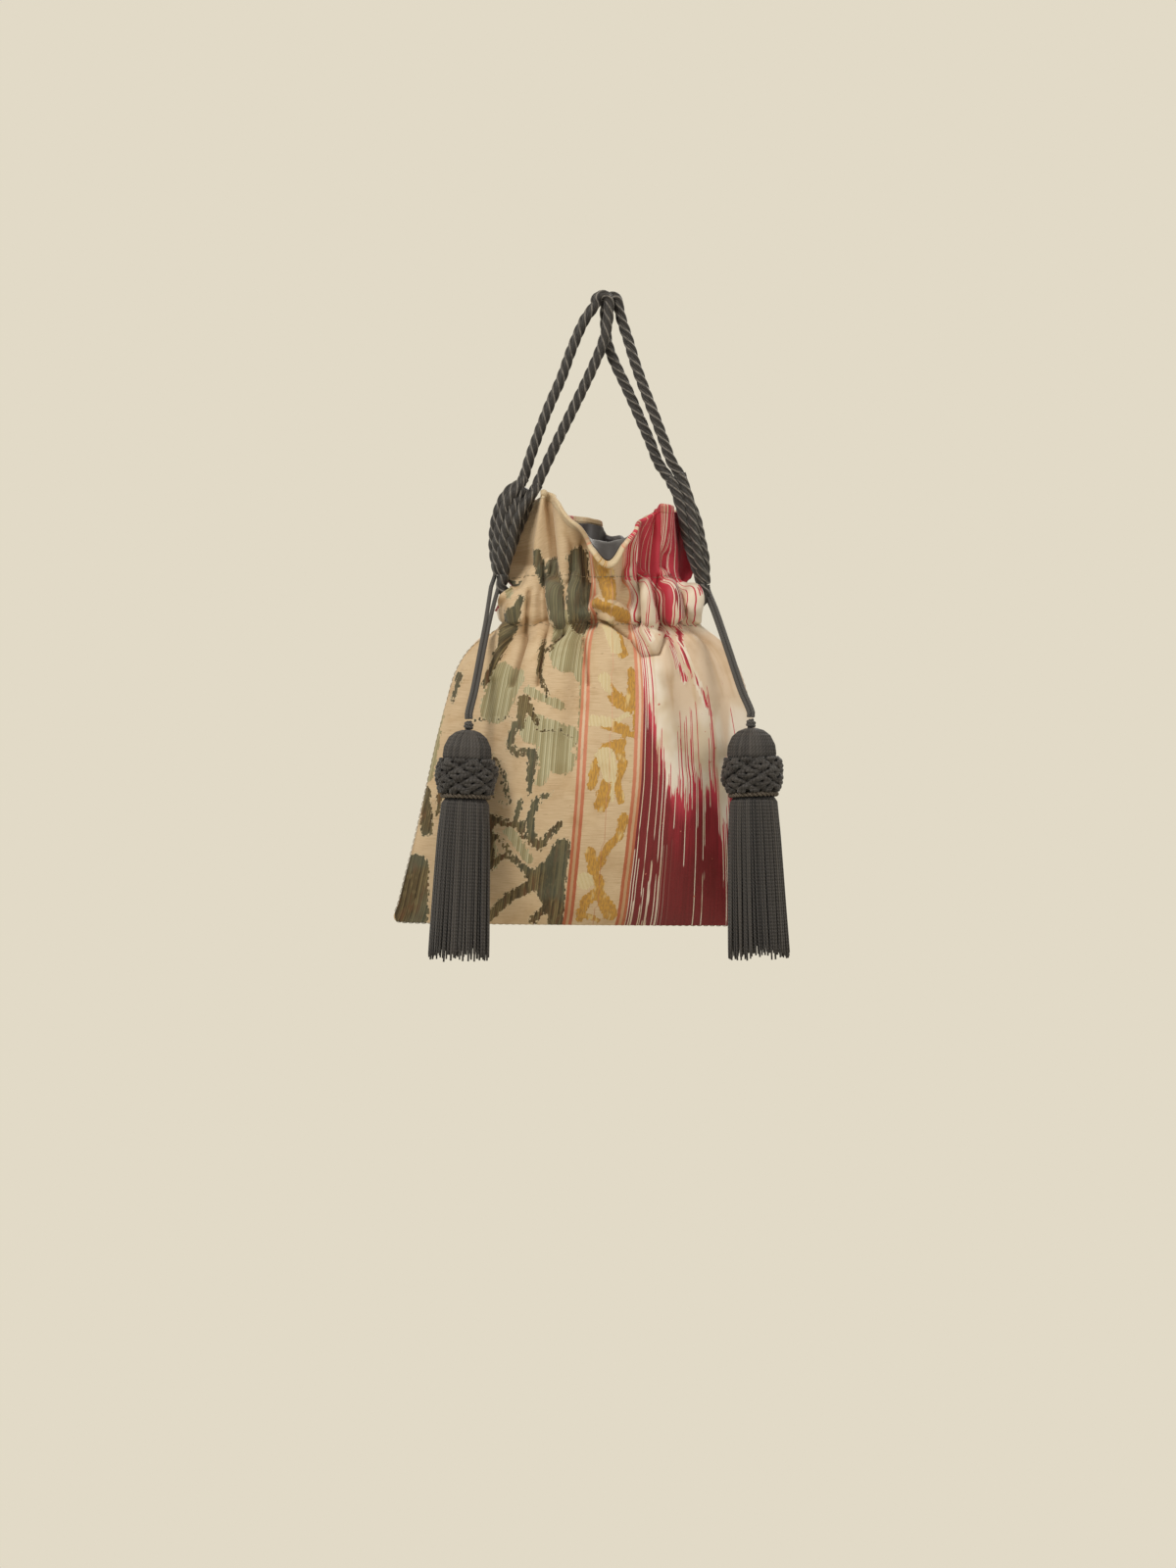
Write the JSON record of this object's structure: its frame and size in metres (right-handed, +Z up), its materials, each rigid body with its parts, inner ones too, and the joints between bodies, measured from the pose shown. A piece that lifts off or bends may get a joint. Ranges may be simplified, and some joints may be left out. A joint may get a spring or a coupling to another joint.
{
  "type": "kinchaku drawstring pouch",
  "caption": "Lined cloth drawstring pouch, gathered under a frilled header by rope cords whose loops are its handles, with a tassel hanging at each side.",
  "frame": {"origin": "the point that the pouch hangs from, on the underside of the bend of both handles", "axes": "+Z up, the front faces -Y, +X to the right as seen from the front"},
  "size_m": [0.2076, 0.0843, 0.3519],
  "materials": {
    "brocade": "striped cut velvet and satin weave",
    "lining": "matt plain weave",
    "rope": "satin twisted rope",
    "thin_cord": "satin braided cord",
    "yarn": "twisted yarn"
  },
  "bodies": {
    "pouch": {"front_panel": "brocade", "back_panel": "brocade", "front_lining": "lining", "back_lining": "lining", "left_cord_run": "rope", "right_cord_run": "rope"},
    "left_drawcord": {"left_tail_front": "rope", "left_tail_back": "rope", "left_knot": "rope", "left_handle_loop": "rope"},
    "left_hanging_cord": {"left_tassel_cord": "thin_cord"},
    "left_tassel": {"left_tassel_tie": "thin_cord", "left_tassel_yarn": "yarn", "left_tassel_collar": "yarn", "left_tassel_band": "yarn"},
    "right_drawcord": {"right_tail_front": "rope", "right_tail_back": "rope", "right_knot": "rope", "right_handle_loop": "rope"},
    "right_hanging_cord": {"right_tassel_cord": "thin_cord"},
    "right_tassel": {"right_tassel_tie": "thin_cord", "right_tassel_yarn": "yarn", "right_tassel_collar": "yarn", "right_tassel_band": "yarn"}
  },
  "joints": [
    {"name": "left_cord_pull", "type": "slide", "parent": "pouch", "child": "left_drawcord", "axis": [-1, 0, 0], "range_m": [0, 0.008]},
    {"name": "left_cord_swing", "type": "hinge", "parent": "left_drawcord", "child": "left_hanging_cord", "pos_m": [-0.06, -0.001, -0.1453], "axis": [0, 1, 0], "range_deg": [0, 25]},
    {"name": "left_tassel_swing", "type": "hinge", "parent": "left_hanging_cord", "child": "left_tassel", "pos_m": [-0.0715, -0.0345, -0.2235], "axis": [-1, 0, 0], "range_deg": [0, 40]},
    {"name": "right_cord_pull", "type": "slide", "parent": "pouch", "child": "right_drawcord", "axis": [1, 0, 0], "range_m": [0, 0.008]},
    {"name": "right_cord_swing", "type": "hinge", "parent": "right_drawcord", "child": "right_hanging_cord", "pos_m": [0.057, -0.001, -0.1503], "axis": [0, -1, 0], "range_deg": [0, 25]},
    {"name": "right_tassel_swing", "type": "hinge", "parent": "right_hanging_cord", "child": "right_tassel", "pos_m": [0.0755, -0.033, -0.2225], "axis": [-1, 0, 0], "range_deg": [0, 40]}
  ]
}
